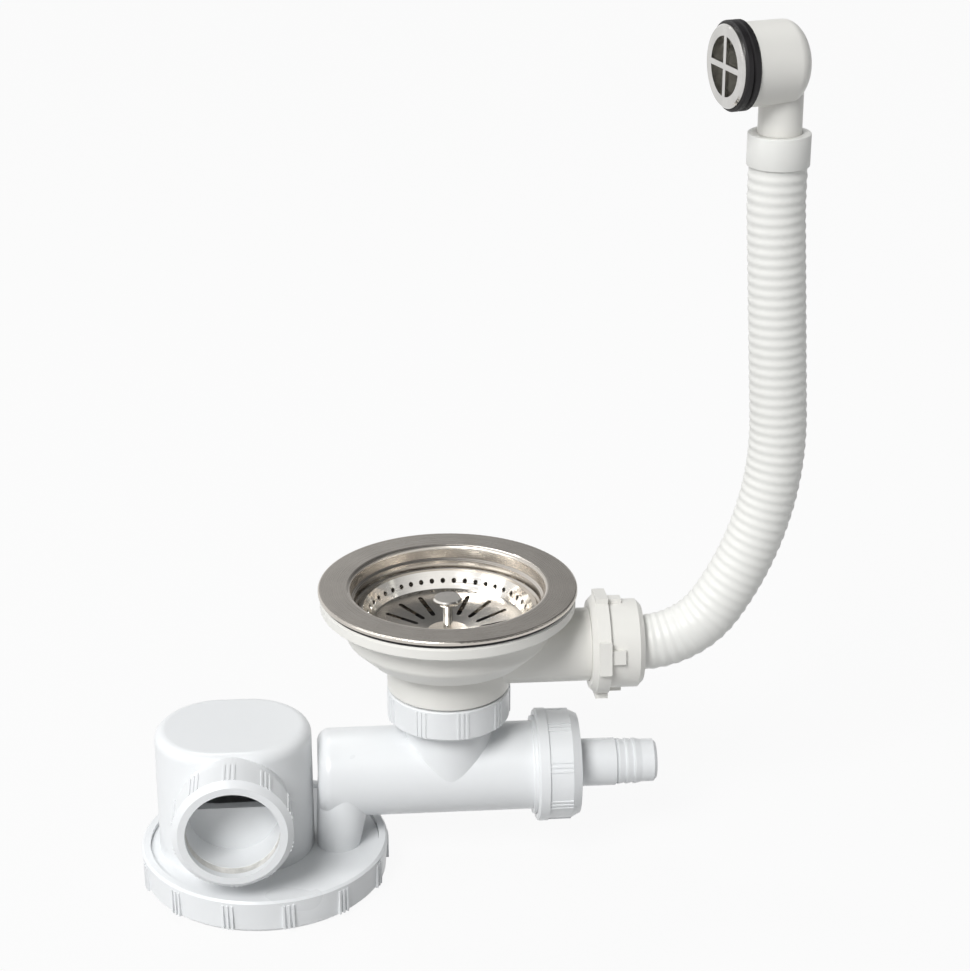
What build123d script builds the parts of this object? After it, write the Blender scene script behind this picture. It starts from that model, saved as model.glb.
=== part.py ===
from build123d import *
import os
from math import cos, degrees, radians, sin, sqrt

# Sink waste and trap kit, in millimetres, +Z up.
# The origin lies on the strainer axis, at the underside of the steel rim.
# The tee pipe and the overflow branch run along +X, the trap outlet opens toward -Y.

os.makedirs("parts", exist_ok=True)

# Clearances used all through
moving_gap = 0.3
push_gap = 0.15
thread_gap = 0.2

# Steel dish
rim_r = 57.0
rim_round = 0.8
mouth_r = 42.5
mouth_round = 2.0
dish_t = 0.9
lip_drop = 0.8
bead_step = 1.3
bead_slope = 1.0
bead_top_z = -5.0
bead_low_z = -9.5
bend_shift = 0.4
dish_wall_taper = 0.9
dish_wall_end_z = -21.0
dish_seat_w = 5.0
dish_floor_z = -26.0
dimple_r = 7.6
dimple_draft = 1.0
dimple_depth = 3.0
drain_hole_r = 4.2
drain_pcd_r = 15.5
drain_count = 8

# Basket, stopper and knob
basket_t = 0.7
basket_gap = 0.6
basket_rim_z = -9.2
basket_rim_w = 2.0
basket_bend = 0.3
basket_slope_w = 3.7
basket_wall_z = -16.4
basket_floor_r = 9.0
basket_floor_z = -21.0
wall_hole_r = 1.05
wall_hole_count = 44
wall_hole_z = -13.2
floor_slot_count = 16
floor_slot_in_r = 14.0
floor_slot_margin = 4.6
floor_slot_w = 2.2
knob_r = 6.5
knob_top_z = -5.0
knob_t = 2.2
knob_edge = 0.7
stem_r = 2.1
stem_foot_r = 1.6
stem_rise = 0.2
stopper_margin = 6.0
stopper_t = 2.3
stopper_lip_w = 3.0
stopper_lip_t = 1.0
stopper_hub_r = 7.5
clip_r = 4.2
clip_t = 0.8
clip_inset = 0.5
clip_pocket_draft = 1.0

# Sink seal and waste body
seal_t = 2.6
seal_edge = 0.4
seal_margin = 2.6
skirt_inset = 0.8
skirt_low_z = -8.6
skirt_edge = 1.0
ledge_drop = 1.3
bowl_gap = 0.4
bowl_draft = 1.4
bowl_edge_z = -21.5
bowl_edge_round = 3.0
pan_slope_w = 9.0
pan_slope_h = 8.7
pan_low_z = -32.0
body_wall = 2.7
neck_round = 1.5
neck_low_z = -44.5
neck_foot_z = -46.8
collar_edge = 0.8
collar_low_z = -47.6
waste_thread_r = 23.5
waste_thread_wall = 4.5
waste_thread_end_z = -55.5
boss_r = 7.5
boss_low_z = -46.0
arm_count = 3
arm_w = 3.0
arm_root = 2.0
arm_top_z = -37.0

# Central screw
screw_r = 3.0
screw_head_r = 6.0
screw_head_t = 2.5
screw_head_edge = 0.8
screw_slot_w = 1.2
screw_slot_depth = 1.2
screw_end_z = -44.0
insert_r = 4.8
insert_end_z = -45.0

# Ribbed nuts: three ribs in a group
rib_h = 0.45
rib_w = 0.9
rib_pitch = 2.1
rib_stop = 0.8

# Trap inlet
flat_seal_t = 2.0
pipe_r = 20.0
pipe_wall = 2.8
branch_r = 19.7
branch_flange_gap = 0.3
branch_flange_t = 2.5
inlet_nut_wall = 3.6
inlet_nut_gap = 0.6
inlet_nut_lip_t = 2.5
inlet_nut_top_edge = 0.5
inlet_nut_low_edge = 1.2
inlet_nut_groups = 9
inlet_rib_angle = -80.0

# Tee pipe
tee_z = -90.3
tee_left_x = -59.3
tee_end_round = 6.0
tee_nut_x = 39.0
tee_thread_h = 2.2
tee_thread_lead = 1.5
tee_thread_end_x = 50.0

# Appliance nut and nozzle
app_nut_wall = 2.2
app_nut_end_x = 58.5
app_nut_lip_t = 3.5
app_nut_chamfer = 4.0
app_flange_h = 0.9
app_flange_w = 5.0
app_flange_edge = 0.8
app_nut_groups = 8
app_rib_angle = 155.0
nozzle_flange_t = 3.0
nozzle_r = 10.8
nozzle_neck_r = 10.3
nozzle_neck_gap = 0.2
nozzle_smooth_x = 75.5
nozzle_step = 1.0
nozzle_end_x = 94.3
nozzle_end_edge = 1.4
nozzle_bore_r = 7.2
barb_root_r = 9.7
barb_crest_r = 10.4
barb_top_w = 0.8
barb_count = 3
barb_pitch = 3.6
barb_root_depth = 0.5

# Trap disc, leg and tower
base_x = -84.0
base_y = -6.0
disc_r = 51.3
disc_top_z = -120.8
disc_t = 3.2
disc_wall = 3.0
disc_h = 8.2
leg_x = -46.6
leg_half_x = 12.5
leg_half_y = 19.4
leg_foot_x = -51.2
leg_foot_half_x = 9.6
tower_x = -96.4
tower_half_x = 34.8
tower_half_y = 29.0
tower_rise = 59.2
tower_round = 5.0
trap_wall = 2.6

# Base cap
cap_wall = 4.0
cap_rim_rise = 2.0
cap_rim_edge = 1.0
cap_floor_t = 3.5
cap_taper = 1.0
cap_round = 2.0
cap_groups = 13
cap_rib_angle = -107.0
cap_rib_stop = 2.5
base_seal_w = 5.8
base_seal_t = 2.5

# Outlet
outlet_rise = 34.8
outlet_pipe_r = 20.25
outlet_front_y = -60.5
outlet_socket_end_y = -52.5
outlet_stop_y = -37.0
outlet_socket_wall = 3.15
outlet_stop_w = 2.75
outlet_nut_wall = 2.6
outlet_nut_len = 16.0
outlet_nut_lip_t = 3.5
outlet_nut_chamfer = 2.6
outlet_nut_groups = 10
outlet_rib_angle = 55.4
weir_rise = 0.5

# Overflow branch and nut
over_z = -30.3
over_branch_r = 16.3
over_branch_wall = 3.7
over_branch_end_x = 76.0
over_nut_x = 62.5
over_nut_wall = 3.4
over_nut_end_x = 86.0
over_nut_lip_x = 80.4
over_nut_chamfer = 2.4
over_flange_h = 2.4
over_flange_w = 8.0
over_flange_edge = 2.5
over_wing_h = 3.6
over_wing_depth = 4.0
over_wing_w = 15.0
over_lug_h = 1.7
over_lug_w = 6.3
over_lug_len = 6.4
over_lug_count = 4
over_lug_angle = 8.0

# Overflow hose
hose_r = 12.4
hose_groove = 0.5
hose_pitch = 4.4
hose_flange_gap = 0.3
hose_flange_t = 2.4
hose_bend_1_r = 40.0
hose_bend_1_angle = 57.0
hose_bend_2_r = 148.0
hose_bend_2_angle = 36.2
hose_bend_3_r = 170.0
hose_straight = 88.8
hose_plain = 12.5
upright_angle = 90.0
cuff_wall = 4.0
cuff_len = 13.5

# Overflow head
head_turn_angle = 16.0
head_r = 17.2
head_wall = 2.4
head_back = 9.5
head_pocket = 2.0
head_front = 18.4
head_drop = 29.4
spigot_r = 9.2
spigot_wall = 1.9
gasket_lip = 1.2
gasket_t = 6.4
gasket_edge = 0.6
gasket_groove = 0.9
gasket_groove_w = 1.3
grille_lip = 0.2
grille_t = 1.6
grille_edge = 0.7
grille_window_r = 12.3
grille_bar_w = 2.4
grille_shank_wall = 1.4
grille_shank_len = 12.0

# Steel dish, pressed from one sheet: rim, two beads, seat and a dimple for the screw
bead_1_r = mouth_r - bead_step
bead_2_r = bead_1_r - bead_step
dish_wall_end_r = bead_2_r - dish_wall_taper
dish_floor_r = dish_wall_end_r - dish_seat_w
dimple_z = dish_floor_z - dimple_depth
dimple_foot_r = dimple_r - dimple_draft
dish_hole_r = screw_r + moving_gap
with BuildPart() as strainer_flange:
    with BuildSketch(Plane.XZ) as dish_section:
        with BuildLine():
            Polyline(
                (rim_r, -lip_drop),
                (rim_r, dish_t),
                (mouth_r, dish_t),
                (mouth_r, bead_top_z),
                (bead_1_r, bead_top_z - bead_slope),
                (bead_1_r, bead_low_z),
                (bead_2_r, bead_low_z - bead_slope),
                (dish_wall_end_r, dish_wall_end_z),
                (dish_floor_r, dish_floor_z),
                (dimple_r, dish_floor_z),
                (dimple_foot_r, dimple_z),
                (dish_hole_r, dimple_z),
                (dish_hole_r, dimple_z - dish_t),
                (dimple_foot_r + dish_t, dimple_z - dish_t),
                (dimple_r + dish_t, dish_floor_z - dish_t),
                (dish_floor_r + bend_shift, dish_floor_z - dish_t),
                (dish_wall_end_r + dish_t, dish_wall_end_z - bend_shift),
                (bead_2_r + dish_t, bead_low_z - bead_slope - bend_shift),
                (bead_1_r + dish_t, bead_low_z - bend_shift),
                (bead_1_r + dish_t, bead_top_z - bead_slope - bend_shift),
                (mouth_r + dish_t, bead_top_z - bend_shift),
                (mouth_r + dish_t, 0),
                (rim_r - dish_t, 0),
                (rim_r - dish_t, -lip_drop),
                close=True,
            )
        make_face()
        fillet(dish_section.vertices().sort_by_distance((rim_r, dish_t))[0], rim_round)
        fillet(dish_section.vertices().sort_by_distance((mouth_r, dish_t))[0], mouth_round)
        fillet(dish_section.vertices().sort_by_distance((mouth_r + dish_t, 0))[0], mouth_round - dish_t)
    revolve(axis=Axis.Z)
    with BuildSketch(Plane.XY.offset(dish_floor_z)):
        with PolarLocations(drain_pcd_r, drain_count):
            Circle(drain_hole_r)
    extrude(amount=-2 * dish_t, mode=Mode.SUBTRACT)
strainer_flange.part.label = "strainer_flange"
export_step(strainer_flange.part, "parts/strainer_flange.step")

# Basket: rolled rim, sloping wall with a row of holes, cone floor with radial slots
stem_hole_r = stem_foot_r + push_gap
basket_rim_r = bead_2_r - basket_gap
basket_wall_r = basket_rim_r - basket_rim_w - basket_slope_w
floor_slot_out_r = basket_wall_r - floor_slot_margin
with BuildPart() as strainer_basket:
    with BuildSketch(Plane.XZ):
        with BuildLine():
            Polyline(
                (basket_rim_r, basket_rim_z - basket_t),
                (basket_rim_r, basket_rim_z),
                (basket_rim_r - basket_rim_w, basket_rim_z),
                (basket_wall_r, basket_wall_z),
                (basket_floor_r, basket_floor_z),
                (stem_hole_r, basket_floor_z),
                (stem_hole_r, basket_floor_z - basket_t),
                (basket_floor_r, basket_floor_z - basket_t),
                (basket_wall_r + basket_bend, basket_wall_z - basket_t),
                (basket_rim_r - basket_rim_w + basket_bend, basket_rim_z - basket_t),
                close=True,
            )
        make_face()
    revolve(axis=Axis.Z)
    with BuildSketch(Plane.XY.offset(basket_wall_z)):
        with PolarLocations((floor_slot_in_r + floor_slot_out_r) / 2, floor_slot_count):
            SlotOverall(floor_slot_out_r - floor_slot_in_r, floor_slot_w)
    extrude(amount=basket_floor_z - basket_wall_z - 2 * basket_t, mode=Mode.SUBTRACT)
    for k in range(wall_hole_count):
        turn = radians(360 * k / wall_hole_count)
        outward = (cos(turn), sin(turn), 0)
        with BuildSketch(Plane((0, 0, wall_hole_z), x_dir=(-sin(turn), cos(turn), 0), z_dir=outward)):
            Circle(wall_hole_r)
        extrude(amount=basket_rim_r, mode=Mode.SUBTRACT)
strainer_basket.part.label = "strainer_basket"
export_step(strainer_basket.part, "parts/strainer_basket.step")

# Knob and stem, turned in one
stopper_top_z = basket_floor_z - basket_t
stopper_low_z = dish_floor_z + moving_gap
stem_end_z = stopper_low_z + stem_rise
with BuildPart() as basket_knob:
    with BuildSketch(Plane.XZ):
        with BuildLine():
            Polyline(
                (0, knob_top_z),
                (knob_r - knob_edge, knob_top_z),
                (knob_r, knob_top_z - knob_edge),
                (knob_r, knob_top_z - knob_t + knob_edge),
                (knob_r - knob_edge, knob_top_z - knob_t),
                (stem_r + knob_edge, knob_top_z - knob_t),
                (stem_r, knob_top_z - knob_t - knob_edge),
                (stem_r, basket_floor_z),
                (stem_foot_r, basket_floor_z),
                (stem_foot_r, stem_end_z),
                (0, stem_end_z),
                close=True,
            )
        make_face()
    revolve(axis=Axis.Z)
basket_knob.part.label = "basket_knob"
export_step(basket_knob.part, "parts/basket_knob.step")

# Rubber stopper under the basket, with a recess for the clip
clip_top_z = stopper_low_z + clip_inset + clip_t
stopper_r = dish_floor_r - stopper_margin
with BuildPart() as basket_stopper:
    with BuildSketch(Plane.XZ):
        with BuildLine():
            Polyline(
                (stem_hole_r, stopper_top_z),
                (stopper_hub_r, stopper_top_z),
                (stopper_hub_r, stopper_low_z + stopper_t),
                (stopper_r - stopper_lip_w, stopper_low_z + stopper_t),
                (stopper_r, stopper_low_z + stopper_lip_t),
                (stopper_r, stopper_low_z),
                (stopper_hub_r, stopper_low_z),
                (stopper_hub_r - clip_pocket_draft, clip_top_z),
                (stem_hole_r, clip_top_z),
                close=True,
            )
        make_face()
    revolve(axis=Axis.Z)
basket_stopper.part.label = "basket_stopper"
export_step(basket_stopper.part, "parts/basket_stopper.step")

# Push-on clip at the foot of the stem
with BuildPart() as stem_clip:
    with BuildSketch(Plane.XY.offset(clip_top_z - clip_t)):
        Circle(clip_r)
        Circle(stem_foot_r, mode=Mode.SUBTRACT)
    extrude(amount=clip_t)
stem_clip.part.label = "stem_clip"
export_step(stem_clip.part, "parts/stem_clip.step")

# Ring seal between the steel rim and the waste body
seal_in_r = mouth_r + dish_t + seal_margin
seal_out_r = rim_r - dish_t - push_gap
with BuildPart() as sink_seal:
    with BuildSketch(Plane.XY.offset(-seal_t)):
        Circle(seal_out_r)
        Circle(seal_in_r, mode=Mode.SUBTRACT)
    extrude(amount=seal_t)
    chamfer(sink_seal.edges().group_by(SortBy.LENGTH)[-1], seal_edge)
sink_seal.part.label = "sink_seal"
export_step(sink_seal.part, "parts/sink_seal.step")

# Waste body: skirt, bowl, collar, threaded outlet, screw boss on arms and overflow branch
boss_top_z = dimple_z - dish_t
skirt_r = rim_r - skirt_inset
inner_bowl_r = mouth_r + dish_t + bowl_gap
bowl_r = inner_bowl_r + body_wall
bowl_edge_r = bowl_r - bowl_draft
pan_r = bowl_edge_r - pan_slope_w
pan_z = bowl_edge_z - pan_slope_h
inlet_nut_r = waste_thread_r + thread_gap + inlet_nut_wall
collar_r = inlet_nut_r - push_gap
neck_bore_r = collar_r - body_wall
waste_bore_r = waste_thread_r - waste_thread_wall
over_bore_r = over_branch_r - over_branch_wall
slant = body_wall / sqrt(2)
over_plane = Plane((0, 0, over_z), x_dir=(0, 1, 0), z_dir=(1, 0, 0))
with BuildPart() as waste_body:
    with BuildSketch(Plane.XZ) as body_section:
        with BuildLine():
            Polyline(
                (0, -seal_t),
                (skirt_r - skirt_edge, -seal_t),
                (skirt_r, -seal_t - skirt_edge),
                (skirt_r, skirt_low_z + skirt_edge),
                (skirt_r - skirt_edge, skirt_low_z),
                (bowl_r, skirt_low_z - ledge_drop),
                (bowl_edge_r, bowl_edge_z),
                (pan_r, pan_z),
                (collar_r, pan_low_z),
                (collar_r, collar_low_z + collar_edge),
                (collar_r - collar_edge, collar_low_z),
                (waste_thread_r, collar_low_z),
                (waste_thread_r, waste_thread_end_z),
                (0, waste_thread_end_z),
                close=True,
            )
        make_face()
        fillet(body_section.vertices().sort_by_distance((bowl_edge_r, bowl_edge_z))[0], bowl_edge_round)
        fillet(body_section.vertices().sort_by_distance((collar_r, pan_low_z))[0], neck_round)
    revolve(axis=Axis.Z)
    with BuildSketch(over_plane):
        Circle(over_branch_r)
    extrude(amount=over_branch_end_x)
    with BuildSketch(Plane.XZ):
        with BuildLine():
            Polyline(
                (0, -seal_t),
                (inner_bowl_r, -seal_t),
                (inner_bowl_r, skirt_low_z),
                (bowl_edge_r - body_wall, bowl_edge_z + slant / 2),
                (pan_r - slant, pan_z + slant),
                (neck_bore_r, pan_low_z + slant),
                (neck_bore_r, neck_low_z),
                (waste_bore_r, neck_foot_z),
                (waste_bore_r, waste_thread_end_z),
                (0, waste_thread_end_z),
                close=True,
            )
        make_face()
    revolve(axis=Axis.Z, mode=Mode.SUBTRACT)
    with BuildSketch(over_plane):
        Circle(over_bore_r)
    extrude(amount=over_branch_end_x, mode=Mode.SUBTRACT)
    with BuildSketch(Plane.XY.offset(boss_low_z)):
        with PolarLocations(neck_bore_r / 2, arm_count, start_angle=upright_angle):
            Rectangle(neck_bore_r + arm_root, arm_w)
    extrude(amount=arm_top_z - boss_low_z)
    with BuildSketch(Plane.XY.offset(boss_low_z)):
        Circle(boss_r)
    extrude(amount=boss_top_z - boss_low_z)
    with BuildSketch(Plane.XY.offset(boss_low_z)):
        Circle(insert_r)
    extrude(amount=boss_top_z - boss_low_z, mode=Mode.SUBTRACT)
waste_body.part.label = "waste_body"
export_step(waste_body.part, "parts/waste_body.step")

# Brass insert and the screw that pulls the dish on to the waste body
with BuildPart() as screw_insert:
    with BuildSketch(Plane.XY.offset(insert_end_z)):
        Circle(insert_r)
        Circle(screw_r + push_gap, mode=Mode.SUBTRACT)
    extrude(amount=boss_top_z - insert_end_z)
screw_insert.part.label = "screw_insert"
export_step(screw_insert.part, "parts/screw_insert.step")

with BuildPart() as clamp_screw:
    with BuildSketch(Plane.XY.offset(dimple_z)):
        Circle(screw_head_r)
    extrude(amount=screw_head_t)
    chamfer(clamp_screw.edges().group_by(Axis.Z)[-1], screw_head_edge)
    with BuildSketch(Plane.XY.offset(screw_end_z)):
        Circle(screw_r)
    extrude(amount=dimple_z - screw_end_z)
    with BuildSketch(Plane.XY.offset(dimple_z + screw_head_t)):
        Rectangle(2 * screw_head_r, screw_slot_w)
    extrude(amount=-screw_slot_depth, mode=Mode.SUBTRACT)
clamp_screw.part.label = "clamp_screw"
export_step(clamp_screw.part, "parts/clamp_screw.step")

# Seal between the waste outlet and the trap inlet
inlet_seal_low_z = waste_thread_end_z - flat_seal_t
with BuildPart() as inlet_seal:
    with BuildSketch(Plane.XY.offset(inlet_seal_low_z)):
        Circle(waste_thread_r)
        Circle(branch_r - pipe_wall, mode=Mode.SUBTRACT)
    extrude(amount=flat_seal_t)
inlet_seal.part.label = "inlet_seal"
export_step(inlet_seal.part, "parts/inlet_seal.step")

# Inlet nut: its lip carries the flange of the trap branch
inlet_lip_z = inlet_seal_low_z - branch_flange_t
inlet_nut_low_z = inlet_lip_z - inlet_nut_lip_t
inlet_nut_top_z = collar_low_z - inlet_nut_gap
inlet_rib_low_z = inlet_nut_low_z + inlet_nut_low_edge
with BuildPart() as inlet_nut:
    with BuildSketch(Plane.XZ):
        with BuildLine():
            Polyline(
                (waste_thread_r + thread_gap, inlet_nut_top_z),
                (inlet_nut_r - inlet_nut_top_edge, inlet_nut_top_z),
                (inlet_nut_r, inlet_nut_top_z - inlet_nut_top_edge),
                (inlet_nut_r, inlet_rib_low_z),
                (inlet_nut_r - inlet_nut_low_edge, inlet_nut_low_z),
                (branch_r + thread_gap, inlet_nut_low_z),
                (branch_r + thread_gap, inlet_lip_z),
                (waste_thread_r + thread_gap, inlet_lip_z),
                close=True,
            )
        make_face()
    revolve(axis=Axis.Z)
    rib_turn = degrees(rib_pitch / inlet_nut_r)
    with BuildSketch(Plane.XY.offset(inlet_rib_low_z)):
        for side in (-1, 0, 1):
            rib_angle = inlet_rib_angle + side * rib_turn
            with PolarLocations(inlet_nut_r, inlet_nut_groups, start_angle=rib_angle):
                Rectangle(2 * rib_h, rib_w)
    extrude(amount=inlet_nut_top_z - rib_stop - inlet_rib_low_z)
inlet_nut.part.label = "inlet_nut"
export_step(inlet_nut.part, "parts/inlet_nut.step")

# Trap body, one moulding: tee pipe, branch, oval leg, disc, tower and outlet socket with a weir
tee_plane = Plane((0, 0, tee_z), x_dir=(0, 1, 0), z_dir=(1, 0, 0))
base_plane = Plane((base_x, base_y, 0))
disc_under_z = disc_top_z - disc_t
disc_low_z = disc_top_z - disc_h
tower_top_z = disc_top_z + tower_rise
outlet_z = disc_top_z + outlet_rise
leg_top = Plane((leg_x, 0, tee_z))
leg_foot = Plane((leg_foot_x, 0, disc_under_z))
tower_plane = Plane((tower_x, base_y, disc_under_z))
outlet_plane = Plane((tower_x, 0, outlet_z), x_dir=(1, 0, 0), z_dir=(0, -1, 0))
pipe_bore_r = pipe_r - pipe_wall
tee_thread_r = pipe_r + tee_thread_h
branch_flange_r = waste_thread_r - branch_flange_gap
outlet_thread_r = outlet_pipe_r + outlet_socket_wall
outlet_bore_r = outlet_pipe_r - outlet_stop_w
tower_h = tower_top_z - disc_under_z
with BuildPart() as trap_body:
    with BuildSketch(tee_plane.offset(tee_left_x)):
        Circle(pipe_r)
    extrude(amount=tee_thread_end_x - tee_left_x)
    fillet(trap_body.edges().group_by(Axis.X)[0], tee_end_round)
    with BuildSketch(tee_plane.offset(tee_nut_x - tee_thread_lead)):
        Circle(tee_thread_r)
    extrude(amount=tee_thread_end_x - tee_nut_x + tee_thread_lead)
    with BuildSketch(Plane.XY.offset(tee_z)):
        Circle(branch_r)
    extrude(amount=inlet_seal_low_z - tee_z)
    with BuildSketch(Plane.XY.offset(inlet_lip_z)):
        Circle(branch_flange_r)
    extrude(amount=branch_flange_t)
    with BuildSketch(leg_foot):
        SlotOverall(2 * leg_half_y, 2 * leg_foot_half_x, rotation=upright_angle)
    with BuildSketch(leg_top):
        SlotOverall(2 * leg_half_y, 2 * leg_half_x, rotation=upright_angle)
    loft()
    with BuildSketch(tower_plane):
        SlotOverall(2 * tower_half_x, 2 * tower_half_y)
    extrude(amount=tower_h)
    tower_top = trap_body.faces().sort_by_distance((tower_x, base_y, tower_top_z))[0]
    fillet(tower_top.edges(), tower_round)
    with BuildSketch(base_plane.offset(disc_low_z)):
        Circle(disc_r)
    extrude(amount=disc_top_z - disc_low_z)
    with BuildSketch(base_plane.offset(disc_low_z)):
        Circle(disc_r - disc_wall)
    extrude(amount=disc_under_z - disc_low_z, mode=Mode.SUBTRACT)
    with BuildSketch(outlet_plane.offset(-base_y)):
        Circle(outlet_thread_r)
    extrude(amount=base_y - outlet_socket_end_y)
    with BuildSketch(leg_foot):
        SlotOverall(2 * (leg_half_y - trap_wall), 2 * (leg_foot_half_x - trap_wall), rotation=upright_angle)
    with BuildSketch(leg_top):
        SlotOverall(2 * (leg_half_y - trap_wall), 2 * (leg_half_x - trap_wall), rotation=upright_angle)
    loft(mode=Mode.SUBTRACT)
    with BuildSketch(tower_plane):
        SlotOverall(2 * (tower_half_x - trap_wall), 2 * (tower_half_y - trap_wall))
    extrude(amount=tower_h - trap_wall, mode=Mode.SUBTRACT)
    with BuildSketch(tee_plane.offset(tee_left_x + pipe_wall)):
        Circle(pipe_bore_r)
    extrude(amount=tee_thread_end_x - tee_left_x - pipe_wall, mode=Mode.SUBTRACT)
    with BuildSketch(Plane.XY.offset(tee_z)):
        Circle(branch_r - pipe_wall)
    extrude(amount=inlet_seal_low_z - tee_z, mode=Mode.SUBTRACT)
    with BuildSketch(outlet_plane.offset(-outlet_stop_y)):
        Circle(outlet_bore_r)
        with Locations((0, weir_rise - outlet_bore_r)):
            Rectangle(2 * outlet_bore_r, 2 * outlet_bore_r, mode=Mode.SUBTRACT)
    extrude(amount=outlet_stop_y - base_y, mode=Mode.SUBTRACT)
    with BuildSketch(outlet_plane.offset(-outlet_stop_y)):
        Circle(outlet_pipe_r)
    extrude(amount=outlet_stop_y - outlet_socket_end_y, mode=Mode.SUBTRACT)
trap_body.part.label = "trap_body"
export_step(trap_body.part, "parts/trap_body.step")

# Base cap and its flat seal
cap_r = disc_r + thread_gap + cap_wall
cap_rim_z = disc_top_z + cap_rim_rise
cap_floor_z = disc_low_z - base_seal_t
cap_low_z = cap_floor_z - cap_floor_t
base_section = Plane((base_x, base_y, 0), x_dir=(1, 0, 0), z_dir=(0, -1, 0))
with BuildPart() as base_cap:
    with BuildSketch(base_section):
        with BuildLine():
            Polyline(
                (0, cap_low_z),
                (cap_r - cap_taper - cap_round, cap_low_z),
                (cap_r - cap_taper, cap_low_z + cap_round),
                (cap_r, cap_rim_z - cap_rim_edge),
                (cap_r - cap_rim_edge, cap_rim_z),
                (disc_r + thread_gap, cap_rim_z),
                (disc_r + thread_gap, cap_floor_z),
                (0, cap_floor_z),
                close=True,
            )
        make_face()
    revolve(axis=Axis((base_x, base_y, 0), (0, 0, 1)))
    cap_rib_turn = degrees(rib_pitch / cap_r)
    with BuildSketch(base_plane.offset(cap_low_z + cap_round)):
        for side in (-1, 0, 1):
            rib_angle = cap_rib_angle + side * cap_rib_turn
            with PolarLocations(cap_r - cap_taper / 2, cap_groups, start_angle=rib_angle):
                Rectangle(cap_taper + 2 * rib_h, rib_w)
    extrude(amount=cap_rim_z - cap_low_z - cap_round - cap_rib_stop)
base_cap.part.label = "base_cap"
export_step(base_cap.part, "parts/base_cap.step")

with BuildPart() as base_seal:
    with BuildSketch(base_plane.offset(cap_floor_z)):
        Circle(disc_r - push_gap)
        Circle(disc_r - base_seal_w, mode=Mode.SUBTRACT)
    extrude(amount=base_seal_t)
base_seal.part.label = "base_seal"
export_step(base_seal.part, "parts/base_seal.step")

# Outlet nut and its seal: a 40 mm pipe slides in through them
mouth_section = Plane((tower_x, 0, outlet_z), x_dir=(0, -1, 0), z_dir=(-1, 0, 0))
outlet_axis = Axis((tower_x, 0, outlet_z), (0, -1, 0))
outlet_lip_y = outlet_front_y + outlet_nut_lip_t
outlet_nut_back_y = outlet_front_y + outlet_nut_len
outlet_nut_r = outlet_thread_r + thread_gap + outlet_nut_wall
with BuildPart() as outlet_nut:
    with BuildSketch(mouth_section):
        with BuildLine():
            Polyline(
                (-outlet_nut_back_y, outlet_thread_r + thread_gap),
                (-outlet_nut_back_y, outlet_nut_r),
                (-outlet_front_y - outlet_nut_chamfer, outlet_nut_r),
                (-outlet_front_y, outlet_nut_r - outlet_nut_chamfer),
                (-outlet_front_y, outlet_pipe_r + push_gap),
                (-outlet_lip_y, outlet_pipe_r + push_gap),
                (-outlet_lip_y, outlet_thread_r + thread_gap),
                close=True,
            )
        make_face()
    revolve(axis=outlet_axis)
    outlet_rib_turn = degrees(rib_pitch / outlet_nut_r)
    with BuildSketch(outlet_plane.offset(-outlet_nut_back_y)):
        for side in (-1, 0, 1):
            rib_angle = outlet_rib_angle + side * outlet_rib_turn
            with PolarLocations(outlet_nut_r, outlet_nut_groups, start_angle=rib_angle):
                Rectangle(2 * rib_h, rib_w)
    extrude(amount=outlet_nut_len - outlet_nut_chamfer)
outlet_nut.part.label = "outlet_nut"
export_step(outlet_nut.part, "parts/outlet_nut.step")

with BuildPart() as outlet_seal:
    with BuildSketch(outlet_plane.offset(-outlet_socket_end_y)):
        Circle(outlet_thread_r)
        Circle(outlet_pipe_r + push_gap, mode=Mode.SUBTRACT)
    extrude(amount=outlet_socket_end_y - outlet_lip_y)
outlet_seal.part.label = "outlet_seal"
export_step(outlet_seal.part, "parts/outlet_seal.step")

# Appliance nut, seal and hose nozzle on the right end of the tee pipe
tee_section = Plane((0, 0, tee_z), x_dir=(1, 0, 0), z_dir=(0, -1, 0))
tee_axis = Axis((0, 0, tee_z), (1, 0, 0))
app_lip_x = app_nut_end_x - app_nut_lip_t
nozzle_flange_x = app_lip_x - nozzle_flange_t
nozzle_flange_r = tee_thread_r
app_nut_r = tee_thread_r + thread_gap + app_nut_wall
app_flange_r = app_nut_r + app_flange_h
barb_start_x = nozzle_smooth_x + nozzle_step
barb_foot_r = barb_root_r - barb_root_depth
with BuildPart() as appliance_nut:
    with BuildSketch(tee_section):
        with BuildLine():
            Polyline(
                (tee_nut_x, tee_thread_r + thread_gap),
                (tee_nut_x, app_flange_r - app_flange_edge),
                (tee_nut_x + app_flange_edge, app_flange_r),
                (tee_nut_x + app_flange_w, app_flange_r),
                (tee_nut_x + app_flange_w, app_nut_r),
                (app_nut_end_x - app_nut_chamfer, app_nut_r),
                (app_nut_end_x, app_nut_r - app_nut_chamfer / 2),
                (app_nut_end_x, nozzle_r + thread_gap),
                (app_lip_x, nozzle_r + thread_gap),
                (app_lip_x, tee_thread_r + thread_gap),
                close=True,
            )
        make_face()
    revolve(axis=tee_axis)
    app_rib_turn = degrees(rib_pitch / app_nut_r)
    with BuildSketch(tee_plane.offset(tee_nut_x + app_flange_w)):
        for side in (-1, 0, 1):
            with PolarLocations(app_nut_r, app_nut_groups, start_angle=app_rib_angle + side * app_rib_turn):
                Rectangle(2 * rib_h, rib_w)
    extrude(amount=app_nut_end_x - app_nut_chamfer - tee_nut_x - app_flange_w)
appliance_nut.part.label = "appliance_nut"
export_step(appliance_nut.part, "parts/appliance_nut.step")

with BuildPart() as appliance_seal:
    with BuildSketch(tee_plane.offset(tee_thread_end_x)):
        Circle(tee_thread_r)
        Circle(pipe_bore_r, mode=Mode.SUBTRACT)
    extrude(amount=nozzle_flange_x - tee_thread_end_x)
appliance_seal.part.label = "appliance_seal"
export_step(appliance_seal.part, "parts/appliance_seal.step")

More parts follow.
